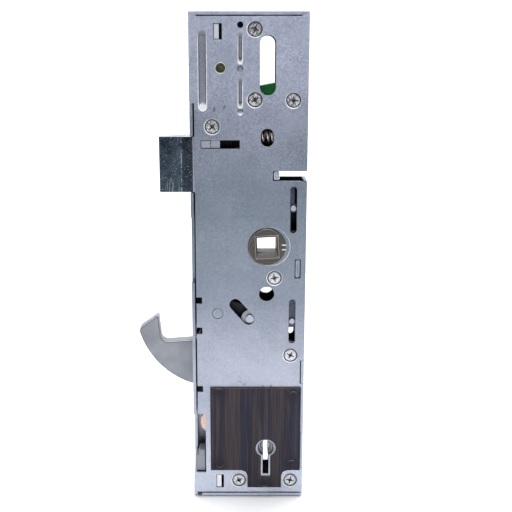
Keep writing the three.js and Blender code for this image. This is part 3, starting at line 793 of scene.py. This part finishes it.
def round_rings(centre, radii, depths, spokes):
    """Rings about the Y axis through centre (x, z); radii in mm by ring, or by ring and spoke."""
    angle = full_turn(spokes)
    radii = np.asarray(radii, dtype=float)
    radii = (radii[:, None] if radii.ndim == 1 else radii) * MM
    x = centre[0] + radii * np.cos(angle)
    z = centre[1] + radii * np.sin(angle)
    return np.stack([x, np.broadcast_to(np.asarray(depths)[:, None] * MM, x.shape), z], -1)


def turned(name, centre, radii, depths, spokes, loop=False, **kept):
    """A skin over round rings, which keeps the given values for its finish."""
    mesh = skin(round_rings(centre, radii, depths, spokes), name, loop)
    for attribute, values in kept.items():
        keep(mesh, attribute, values, spokes)
    return mesh


def capsule_rings(start, end, radii, depths, trims, arc=16, straight=10):
    """Rings about the line start-end: half circles at its ends joined by straight sides, shortened by trims."""
    start, end = np.asarray(start, dtype=float), np.asarray(end, dtype=float)
    heading = (end - start) / np.linalg.norm(end - start)
    turn = np.linspace(-np.pi / 2, np.pi / 2, arc + 1)
    run = np.linspace(1, 0, straight + 1)[1:-1]
    side = np.full(straight - 1, np.pi / 2)
    angle = np.concatenate([turn, side, turn + np.pi, side + np.pi])
    place = np.concatenate([np.ones(arc + 1), run, np.zeros(arc + 1), run[::-1]])
    across = np.array([-heading[1], heading[0]])
    normal = np.outer(np.cos(angle), heading) + np.outer(np.sin(angle), across)
    rings = []
    for radius, depth, trim in zip(radii, depths, trims):
        first, last = start + trim * MM * heading, end - trim * MM * heading
        flat = first + np.outer(place, last - first) + radius * MM * normal
        rings.append(np.stack([flat[:, 0], np.full(len(flat), depth * MM), flat[:, 1]], -1))
    return np.array(rings)


FACE = cover_face / MM
print("depths are counted from the cover's face at", round(FACE, 2), "mm")

# %% [markdown]
# ## Case screws
# A countersunk head has a flat face, a cross recess with a tapering floor and a cone below. The recess could be
# cut with a boolean. Here the radius swells and shrinks with the angle instead, which gives the four wings and the
# four fine ticks between them on clean faces. Driving the screw home has raised a thin burr round each countersink,
# which is a ring of its own. The burr gets a painted highlight, strongest on the side facing the light; the recess
# and the gap round the head get painted shade with grime.


# %% Cross-recess screws and their seats
HEAD_SUNK = 0.08  # the heads lie this far under the face, in mm


def screw_mesh(name, centre, turn, spokes=144):
    """Radius by ring and angle: a ticked cross on the recess floor and mouth, a circle from the face outwards."""
    angle = full_turn(spokes) + turn
    wings = np.abs(np.cos(2 * angle)) ** 7
    ticks = np.abs(np.sin(2 * angle)) ** 16
    cross = 0.62 + 1.3 * wings + 0.75 * ticks
    circle = np.ones(spokes)
    profile = [  # depth under the head's face, radius, painted highlight with wear, painted shade with grime
        (0.9, 0.1 * circle, 0, 0.6), (0.8, 0.4 * cross, 0, 0.8), (0.5, 0.72 * cross, 0, 0.9),
        (0.14, 0.92 * cross, 0, 0.8), (0.0, cross, 1, 0), (0.0, 0.6 * cross + 0.85, 0.2, 0),
        (0.0, 2.2 * circle, 0, 0), (0.02, 2.42 * circle, 0, 0.15), (0.08, 2.56 * circle, 0.4, 0.2),
        (0.24, 2.66 * circle, 0, 1), (0.45, 2.6 * circle, 0, 1),
        (1.2, 1.68 * circle, 0, 0.5), (1.5, 1.2 * circle, 0, 0), (7.4, 1.2 * circle, 0, 0),
        (7.8, 0.6 * circle, 0, 0),
    ]
    depths, radii, rub, grime = zip(*profile)
    depths = FACE + HEAD_SUNK + np.array(depths)
    return turned(name, centre, np.stack(radii), depths, spokes, rub=rub, grime=grime)


def seat_mesh(name, centre, spokes=72):
    """Profile round the screw: up the countersink's wall, over a burr 0.07 mm high, down into the sheet."""
    radii = [2.7, 2.98, 3.12, 3.32, 3.46, 3.54, 3.3, 2.75]
    depths = [FACE + rise for rise in (0.4, 0.06, -0.07, -0.08, -0.02, 0.05, 0.12, 0.6)]
    # Painted highlight on the burr, strongest on the side facing the light; painted shade with grime on the wall by
    # the head.
    facing_light = 0.35 + 0.65 * np.clip(0.5 - np.cos(full_turn(spokes) - math.radians(50)), 0, 1)
    rub = np.outer([0, 0.6, 1, 1, 0.5, 0, 0, 0], facing_light)
    return turned(name, centre, radii, depths, spokes, loop=True, rub=rub, grime=[1, 0.9, 0, 0, 0, 0, 0, 1])


def on_cover(mesh, name, finish):
    """A dressing piece with the given finish that rides on the case."""
    place(mesh, name, finish, "case")


for number, node in enumerate(screw_names):
    at = middle(node)[[0, 2]]
    finish = screw_zinc if at[1] > float(spindle[2]) else screw_pale
    mesh = screw_mesh(node + "_shape", at, turn=0.35 + 0.65 * number)
    stands_for(place(mesh, node + "_turned", finish, "case"), node)
    on_cover(seat_mesh(f"screw_seat_{number + 1}_shape", at), f"screw_seat_{number + 1}", seat_zinc)
print("turned", len(screw_names), "screws and their seats")

# %% [markdown]
# ## Rivet
# The upper left of the case is held by a tubular rivet. Its rolled rim carries a painted highlight with wear, and
# its bore is packed with old grease and dust, which is why the middle is olive brown. The grease could be a small
# piece of its own, but it has no edge on the real rivet, so it is a spot in the finish over a dished floor. The
# crease round the rim gets painted shade with grime.


# %% Tubular rivet
def rivet_finish(name, centre):
    """Plated steel with a spot of grease about the point centre (x, z)."""
    finish = Finish(name, metallic=0.7)
    base = zinc_base(finish, tint(186, 188, 192), tint(132, 132, 130), 1.0)
    lumps = finish.spread(finish.noise(1300, 3), 0.35, 0.65)
    grease = finish.ramp(lumps, (0.0, tint(52, 50, 38)), (1.0, tint(104, 100, 76)))
    packed = finish.spread(finish.spot(*centre, 2.2), 0.1, 0.22)
    base = finish.mix(packed, base, grease)
    # The rim gets a painted highlight with wear; the bore's floor and the crease round the rim get painted shade
    # with grime.
    base = finish.mix(finish.rubbed_edges(), base, tint(228, 228, 226))
    finish.colour(finish.mix(finish.kept("grime"), base, tint(40, 38, 32)))
    return finish.material


def rivet_mesh(name, centre, spokes=72):
    """Profile: a dished floor, up and over the rolled rim, down to the sheet and along the tube to the back."""
    rear = float(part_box("case_rivet")[1][1]) / MM
    radii = [0.3, 1.2, 1.7, 1.86, 2.02, 2.22, 2.42, 2.54, 2.5, 2.1, 2.1, 1.9]
    rises = [0.42, 0.36, 0.3, 0.02, -0.16, -0.22, -0.16, -0.02, 0.03, 0.04]
    depths = [FACE + rise for rise in rises] + [rear - 0.1, rear]
    # Painted highlight with wear on the rim's crest; painted shade with grime in the bore and the crease round the
    # rim.
    rub = [0, 0, 0, 0, 0.5, 1, 0.4, 0, 0, 0, 0, 0]
    grime = [0, 0.2, 0.5, 0.8, 0, 0, 0.1, 0.8, 1, 0, 0, 0]
    return turned(name, centre, radii, depths, spokes, rub=rub, grime=grime)


rivet_at = middle("case_rivet")[[0, 2]]
rivet = rivet_mesh("case_rivet_shape", rivet_at)
stands_for(place(rivet, "case_rivet_rolled", rivet_finish("rivet", rivet_at), "case"), "case_rivet")
print("rivet rolled over at", np.round(rivet_at / MM, 1), "mm")

# %% [markdown]
# ## Pressed grooves
# Three stiffening grooves are pressed into the cover. The punch leaves a rounded rim, sloping sides, and longer
# ramps at the two ends. The rim and the lower ramp, which faces up, are painted bright as a highlight, and the sides
# are painted with shade. A displacement of the cover would need a very fine mesh all over, so each groove is a
# shallow pan of its own, set in the cut that the cover has.


# %% Grooves
def groove_mesh(name, start, end, half):
    """Profile from the floor outwards: floor, side, rolled rim, and back beneath; the ramps trim each ring."""
    radii = [0.1, *(half + step for step in (-0.56, -0.4, -0.2, -0.1, 0.08, 0.2, -0.04, -0.4)), 0.1]
    rises = [0.36, 0.36, 0.3, 0.08, -0.03, -0.06, 0.01, 0.14, 0.46, 0.46]
    trims = [2.6, 2.4, 1.8, 0.4, 0, 0, 0, 0, 1.8, 2.6]
    rings = capsule_rings(start, end, radii, [FACE + rise for rise in rises], trims)
    mesh = skin(rings, name)
    up = rings[:, :, 2]
    top_fade = np.clip((float(end[1]) + half * MM - up) / (4 * MM), 0.2, 1)
    low_ramp = np.clip((float(start[1]) + 0.9 * half * MM - up) / (0.4 * MM), 0, 1)
    # Painted highlight on the rim and the lower ramp; painted shade on the sides and faintly on the floor, fading at
    # the top.
    rim = np.array([0, 0, 0, 0, 1, 1, 0.5, 0, 0, 0])[:, None] * top_fade
    ramp = np.array([1, 1, 1, 1, 1, 1, 0, 0, 0, 0])[:, None] * low_ramp
    wall = np.array([0.1, 0.12, 0.8, 0.7, 0, 0, 0, 0, 0, 0])[:, None] * (1 - low_ramp)
    keep(mesh, "rub", np.maximum(rim, ramp), rings.shape[1])
    keep(mesh, "grime", wall * top_fade, rings.shape[1])
    return mesh


def pip_mesh(name, centre, lit, spokes=40):
    """Profile: a dished floor, a wall in painted shade and a thin rim; lit is how strong the painted highlight on
    its lower half is.
    """
    radii = [0.2, 0.8, 1.04, 1.22, 1.34, 1.38, 1.2, 0.4]
    depths = [FACE + rise for rise in (0.3, 0.3, 0.26, 0.04, -0.03, 0.03, 0.4, 0.5)]
    # Painted highlight on the lower half, which faces the light; painted shade on the upper half.
    low_half = lit * np.clip(0.3 - np.sin(full_turn(spokes)), 0, 1)
    rub = np.outer([0.2, 0.6, 1, 1, 1, 0.4, 0, 0], low_half)
    grime = np.outer([0.1, 0.25, 0.8, 0.9, 0.3, 0, 0, 0], 1 - low_half)
    return turned(name, centre, radii, depths, spokes, rub=rub, grime=grime)


groove_zinc = zinc_plate("groove zinc", tint(150, 154, 168), tint(120, 124, 138), grain=0.9, metallic=0.3)
corner = np.array([float(cover_low[0]), float(cover_high[2])])
PIP_LINE = 20.8  # the short grooves and pips share one upright line
groove_lines = {  # mm from the cover's corner: across, low, high, half width
    "front": (5.5, -36, -7.2, 1.7), "upper": (PIP_LINE, -18.2, -7.5, 0.9), "lower": (PIP_LINE, -35.7, -25.1, 0.9),
}
for place_name, (x, low, high, half) in groove_lines.items():
    start, end = corner + np.array([x, low]) * MM, corner + np.array([x, high]) * MM
    on_cover(groove_mesh(f"groove_{place_name}_shape", start, end, half), f"cover_groove_{place_name}", groove_zinc)
for place_name, below_top, lit in (("middle", -20.9, 0.35), ("low", -38.1, 1.0)):
    at = corner + np.array([PIP_LINE, below_top]) * MM
    on_cover(pip_mesh(f"pip_{place_name}_shape", at, lit), f"cover_pip_{place_name}", groove_zinc)
print("grooves pressed:", len(groove_lines), "and two pips")

# %% [markdown]
# ## Weld marks and index marks
# The hardened plate is spot welded, and each weld has thrown up a small crescent of scale. The follower's face
# carries two short raised bars that show which way round it is fitted. Both stand proud of the metal, so they
# are swept shapes and not bump: a bump has no outline when it is seen from the side.


# %% Crescents and bars
def crescent_mesh(name, centre, radius_mm, section_mm, first, last, steps=28, sides=10):
    """Path: an arc about centre from angle first to last; section: a circle that thins out to both ends."""
    share = np.linspace(0, 1, steps)
    angle = np.radians(first + (last - first) * share)
    outwards = np.stack([np.cos(angle), np.zeros(steps), np.sin(angle)], -1)
    path = np.array([centre[0], float(plate_low[1]), centre[1]]) + radius_mm * MM * outwards
    thick = section_mm * MM * (0.15 + 0.85 * np.sin(np.pi * share) ** 0.6)
    around = full_turn(sides)
    depth = np.array([0.0, 1.0, 0.0])
    rings = path[:, None] + thick[:, None, None] * (
        np.cos(around)[None, :, None] * outwards[:, None] + np.sin(around)[None, :, None] * depth
    )
    mesh = skin(rings, name)
    # A faint painted highlight along the crescent's crest.
    keep(mesh, "rub", 0.1 * np.sin(np.pi * share), sides)
    return mesh


weld_scale = zinc_plate("weld scale", tint(96, 90, 92), tint(44, 40, 44), grain=1.5)
for number, weld in enumerate(WELDS):
    first = 200 if number in (2, 4) else 15  # two of the welds were thrown up on their lower side
    mesh = crescent_mesh(f"weld_crescent_{number + 1}_shape", weld, 1.5, 0.17, first, first + 150)
    place(mesh, f"weld_crescent_{number + 1}", weld_scale, "case")

follower_front_face = float(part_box("follower_front")[0][1]) / MM
for number, z in enumerate((-1.0, 1.0)):
    start, end = (spindle[[0, 2]] + np.array([x, z]) * MM for x in (4.9, 6.3))
    depths = [follower_front_face + rise for rise in (-0.1, -0.1, -0.04, 0.1, 0.3)]
    rings = capsule_rings(start, end, [0.05, 0.14, 0.24, 0.26, 0.2], depths, trims=[0] * 5)
    mesh = skin(rings, f"follower_index_{number + 1}_shape")
    # The bars' tops get a painted highlight with wear.
    keep(mesh, "rub", [1, 1, 1, 0.4, 0], rings.shape[1])
    place(mesh, f"follower_index_{number + 1}", seat_zinc, "front_follower")
print("crescents:", len(WELDS), "index bars: 2")


# %% The rolled rim round the follower, and the rear notch's tab
def rim_mesh(name, centre, radius, width, height, spokes=96):
    """Profile: half a circle of the given width, raised by height and closed beneath."""
    radii = [radius, radius + 0.25 * width, radius + 0.75 * width, radius + width, radius + 0.5 * width]
    depths = [height + 0.04, height - 0.04, height - 0.04, height + 0.04, height + 0.12]
    # Painted highlight over the rim, strongest on the side facing the light.
    facing_light = np.clip(0.55 + 0.45 * np.cos(full_turn(spokes) + math.radians(45)), 0, 1)
    rub = np.outer([0.3, 1, 1, 0.5, 0], facing_light)
    return turned(name, centre, radii, depths, spokes, loop=True, rub=rub)


HOLE_RADIUS = 8.05
on_cover(rim_mesh("spindle_rim_shape", spindle[[0, 2]], HOLE_RADIUS, 0.3, FACE), "spindle_hole_rim", seat_zinc)


def tab_mesh(name, low, high, spokes=64, squareness=6.0):
    """Rings are rounded rectangles (a superellipse), small on the face, full behind it: a soft-edged plate."""
    angle = full_turn(spokes)
    power = 2 / squareness
    across = np.sign(np.cos(angle)) * np.abs(np.cos(angle)) ** power
    up = np.sign(np.sin(angle)) * np.abs(np.sin(angle)) ** power
    middle_of, half = (low + high) / 2, (high - low) / 2
    rings = []
    for inset, depth in ((0.3, 0.0), (0.08, 0.02), (0.0, 0.12), (0.0, 0.9), (0.1, 1.0)):
        spread = half - np.array([inset * MM, 0, inset * MM])
        y = np.full(spokes, low[1] + depth * (high[1] - low[1]))
        rings.append(np.stack([middle_of[0] + spread[0] * across, y, middle_of[2] + spread[2] * up], -1))
    mesh = skin(np.array(rings), name)
    # The tab's rounded edge gets a painted highlight with wear.
    keep(mesh, "rub", [0, 1, 0.3, 0, 0], spokes)
    return mesh


notch_tab = tab_mesh("notch_tab_shape", from_case(34.7, 0.55, 144.0), from_case(37.1, 1.15, 147.3))
place(notch_tab, "rear_notch_tab", pin_steel, "case")
print("rim of", HOLE_RADIUS, "mm and one tab added")

# %% [markdown]
# ## Springs
# A compression spring is a round wire carried along a helix. Its end turns are closed up, so the pitch is
# small at both ends and full between. A Screw modifier makes only an even pitch, so the path is worked out here,
# and the wire's circle is set across it, on two directions that stay square to it.


# %% Wound springs
def coil_mesh(name, start, end, radius_mm, wire_mm, turns, samples=40, sides=12):
    """Path: a helix about the line start-end whose advance eases in and out; section: a circle of wire_mm."""
    start, end = np.asarray(start), np.asarray(end)
    length = np.linalg.norm(end - start)
    axis = (end - start) / length
    side = np.cross(axis, [0, 1, 0])
    side /= np.linalg.norm(side)
    other = np.cross(axis, side)
    share = np.linspace(0, 1, int(turns * samples))
    wire, radius = wire_mm * MM, radius_mm * MM
    advance = share - 0.44 * np.sin(4 * np.pi * share) / (4 * np.pi)
    angle = 2 * np.pi * turns * share
    path = (
        start + np.outer(wire + advance * (length - 2 * wire), axis)
        + radius * (np.outer(np.cos(angle), side) + np.outer(np.sin(angle), other))
    )
    forward = np.gradient(path, axis=0)
    forward /= np.linalg.norm(forward, axis=1)[:, None]
    outwards = np.outer(np.cos(angle), side) + np.outer(np.sin(angle), other)
    outwards -= forward * np.sum(outwards * forward, axis=1)[:, None]
    outwards /= np.linalg.norm(outwards, axis=1)[:, None]
    across = np.cross(forward, outwards)
    round_angle = full_turn(sides)
    rings = (
        path[:, None] + wire * np.cos(round_angle)[None, :, None] * outwards[:, None]
        + wire * np.sin(round_angle)[None, :, None] * across[:, None]
    )
    return skin(rings, name)


def wound_spring(node, along, radius_mm, wire_mm, turns):
    """A spring in the place of its node, wound along that axis of its box."""
    low, high = (np.array(corner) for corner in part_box(node))
    start = (low + high) / 2
    end = start.copy()
    start[along], end[along] = low[along], high[along]
    mesh = coil_mesh(node + "_shape", start, end, radius_mm, wire_mm, turns)
    piece = place(mesh, node + "_wound", spring_wire, nodes[node]["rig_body"])
    stands_for(piece, node)
    return piece


latch_spring = wound_spring("latch_spring", 0, 2.1, 0.4, 11)
slider_spring = wound_spring("slider_spring", 2, 1.3, 0.28, 10)
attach(slider_spring, "case")
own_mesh(latch_spring)
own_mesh(slider_spring)

# %% [markdown]
# ## Studio
# The lock stands on a pale floor that curves up behind it. An image of a room could light it, but polished plate
# would mirror the room. One big soft light hangs above and in front, with weaker ones at the sides, so that the
# flat cover has a gentle gradient and the edges catch highlights. A strong wash behind keeps the paper white.


# %% Floor that curves up into a backdrop
def sweep_floor(front, back, half_width, bend, top):
    """Profile carried along X: flat from front to back, a quarter circle of radius bend, then straight up."""
    ground = float(cad_box[0][2]) - 0.0005
    arc = np.linspace(0, np.pi / 2, 24)
    profile = np.concatenate([
        [[front, ground]],
        np.stack([back + bend * np.sin(arc), ground + bend * (1 - np.cos(arc))], -1),
        [[back + bend, top]],
    ])
    across = np.array([-half_width, half_width])
    grid = np.stack([
        np.broadcast_to(across[:, None], (2, len(profile))),
        np.broadcast_to(profile[:, 0], (2, len(profile))),
        np.broadcast_to(profile[:, 1], (2, len(profile))),
    ], -1)
    step = np.arange(len(profile) - 1)
    quads = np.stack([step, len(profile) + step, len(profile) + step + 1, step + 1], -1)
    mesh = bpy.data.meshes.new("studio_floor")
    mesh.from_pydata(grid.reshape(-1, 3), [], quads.tolist())
    mesh.shade_smooth()
    floor = bpy.data.objects.new("studio_floor", mesh)
    bpy.context.scene.collection.objects.link(floor)
    return floor


def paper(name):
    """Studio paper: nearly white, with a faint cloud."""
    finish = Finish(name, metallic=0.0, Roughness=0.9)
    finish.colour(finish.ramp(finish.noise(40, 3), (0.0, tint(243, 243, 244)), (1.0, tint(250, 250, 251))))
    return finish.material


floor = sweep_floor(-1.6, 0.35, 2.2, 0.5, 2.4)
floor.data.materials.append(paper("studio paper"))
floor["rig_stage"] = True
print("floor faces:", len(floor.data.polygons))


# %% Lights
def soft_light(name, place_m, aim_m, size_m, power):
    """A rectangular area light of the given power in watts, turned to face the point aim_m."""
    lamp = bpy.data.lights.new(name, "AREA")
    lamp.shape = "RECTANGLE"
    lamp.size, lamp.size_y = size_m
    lamp.energy = power
    light = bpy.data.objects.new(name, lamp)
    bpy.context.scene.collection.objects.link(light)
    heading = np.asarray(aim_m) - np.asarray(place_m)
    light.rotation_euler = Vector(heading).to_track_quat("-Z", "Y").to_euler()
    light.location = place_m


lock = (0.02, 0.0, 0.0)
soft_light("overhead", (0.15, -0.3, 0.95), lock, (0.9, 0.5), 5)
soft_light("left wing", (-1.1, -0.5, 0.25), lock, (0.5, 1.0), 2)
soft_light("right wing", (1.1, -0.7, 0.1), lock, (0.4, 1.0), 1)
soft_light("floor wash", (0.0, 0.4, 1.25), (0.0, 0.42, -0.1), (2.4, 1.0), 27)
world = bpy.data.worlds.new("studio air")
world.use_nodes = True
air = world.node_tree.nodes["Background"].inputs
air["Color"].default_value = (0.93, 0.95, 1.0, 1)
air["Strength"].default_value = 0.4
bpy.context.scene.world = world
bpy.context.scene.view_settings.view_transform = "Standard"
print("lights:", len(bpy.data.lights))

# %% [markdown]
# ## Camera
# The view is square to the cover from an arm's bend away, tipped down a little, at the height of the upper
# screws. The lens is a little long, which keeps the case's sides nearly parallel. The lock stands left of the
# frame's middle; turning the camera for that would skew the cover, so the lens is shifted sideways instead.

# %% Camera
LENS_MM = 58.9
TIP_DOWN = math.radians(13.1)
DISTANCE = 0.345
HEIGHT = 0.0763
camera_data = bpy.data.cameras.new("bench camera")
camera_data.lens = LENS_MM
camera_data.sensor_width = 36
camera_data.shift_x = 0.0254
camera_data.clip_start = 0.01
camera = bpy.data.objects.new("bench camera", camera_data)
camera.location = (0.0219, cover_face - DISTANCE, HEIGHT)
camera.rotation_euler = (math.pi / 2 - TIP_DOWN, 0, 0)
bpy.context.scene.collection.objects.link(camera)
bpy.context.scene.camera = camera
print("camera", DISTANCE, "m from the cover")

# %% Record the sizes and finish
visual_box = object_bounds()
sizes = {"cad": [list(corner) for corner in cad_box], "visual": [list(corner) for corner in visual_box]}
print("box of the frame and of the finished lock, mm:")
for name, corners in sizes.items():
    print(" ", name, [[round(value / MM, 2) for value in corner] for corner in corners])
